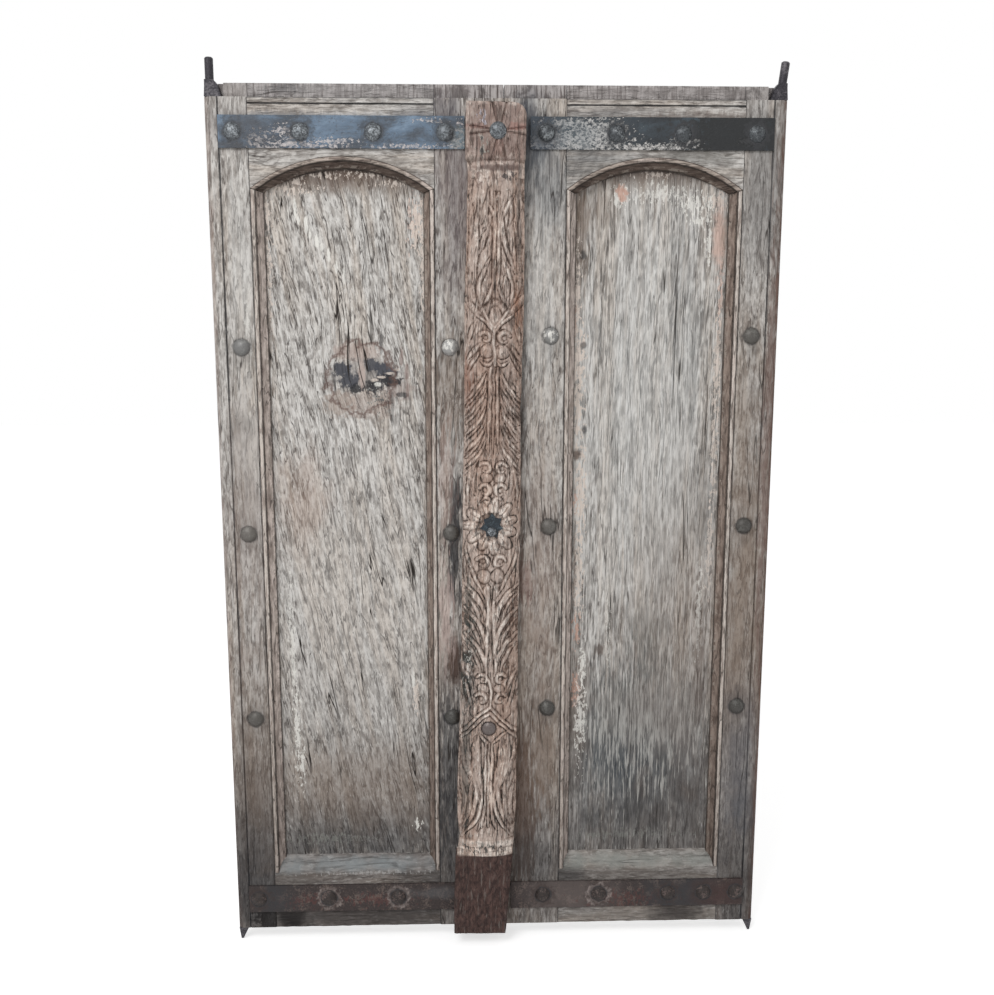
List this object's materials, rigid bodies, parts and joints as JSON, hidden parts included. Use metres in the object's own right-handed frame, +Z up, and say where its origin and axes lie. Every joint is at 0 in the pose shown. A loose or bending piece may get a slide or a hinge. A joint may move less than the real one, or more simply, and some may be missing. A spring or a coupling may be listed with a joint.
{
  "type": "carved temple door",
  "caption": "Pair of weathered timber door leaves on iron pivots, with arched sunk panels, iron straps and a carved meeting strip.",
  "frame": {"origin": "on the left leaf's pivot axis, level with the foot of the leaves", "axes": "+X from the left pivot to the right pivot, +Y through the door into the building, +Z up"},
  "size_m": [0.7612, 0.0911, 1.2342],
  "materials": {
    "weathered_teak": "bare, grey, deeply weathered grain",
    "carved_teak": "bare, brown, worn carving",
    "back_teak": "rough sawn",
    "painted_iron": "old blue-black paint, scraped",
    "rusty_iron": "dark, rusty",
    "forged_iron": "forged, dark, rubbed on the crowns"
  },
  "bodies": {
    "left_leaf": {"left_arch_moulding": "weathered_teak", "left_bottom_pivot": "forged_iron", "left_bottom_rail": "weathered_teak", "left_bottom_strap": "rusty_iron", "left_bottom_strap_studs": "rusty_iron", "left_inner_side_moulding": "weathered_teak", "left_inner_stile": "weathered_teak", "left_inner_stile_studs": "forged_iron", "left_lower_ledge": "back_teak", "left_middle_ledge": "back_teak", "left_outer_side_moulding": "weathered_teak", "left_outer_stile": "weathered_teak", "left_outer_stile_studs": "forged_iron", "left_panel": "weathered_teak", "left_top_pivot": "forged_iron", "left_top_rail": "weathered_teak", "left_top_strap": "painted_iron", "left_top_strap_studs": "forged_iron", "left_upper_ledge": "back_teak", "meeting_strip": "carved_teak", "meeting_strip_nails": "forged_iron", "rosette_plate": "forged_iron"},
    "right_leaf": {"right_arch_moulding": "weathered_teak", "right_bottom_pivot": "forged_iron", "right_bottom_rail": "weathered_teak", "right_bottom_strap": "rusty_iron", "right_bottom_strap_studs": "rusty_iron", "right_inner_side_moulding": "weathered_teak", "right_inner_stile": "weathered_teak", "right_inner_stile_studs": "forged_iron", "right_lower_ledge": "back_teak", "right_middle_ledge": "back_teak", "right_outer_side_moulding": "weathered_teak", "right_outer_stile": "weathered_teak", "right_outer_stile_studs": "forged_iron", "right_panel": "weathered_teak", "right_top_pivot": "forged_iron", "right_top_rail": "weathered_teak", "right_top_strap": "painted_iron", "right_top_strap_studs": "forged_iron", "right_upper_ledge": "back_teak"}
  },
  "joints": [
    {"name": "right_leaf_swing", "type": "hinge", "parent": "left_leaf", "child": "right_leaf", "pos_m": [0.744, 0, 0], "axis": [0, 0, -1], "range_deg": [0, 95]}
  ]
}
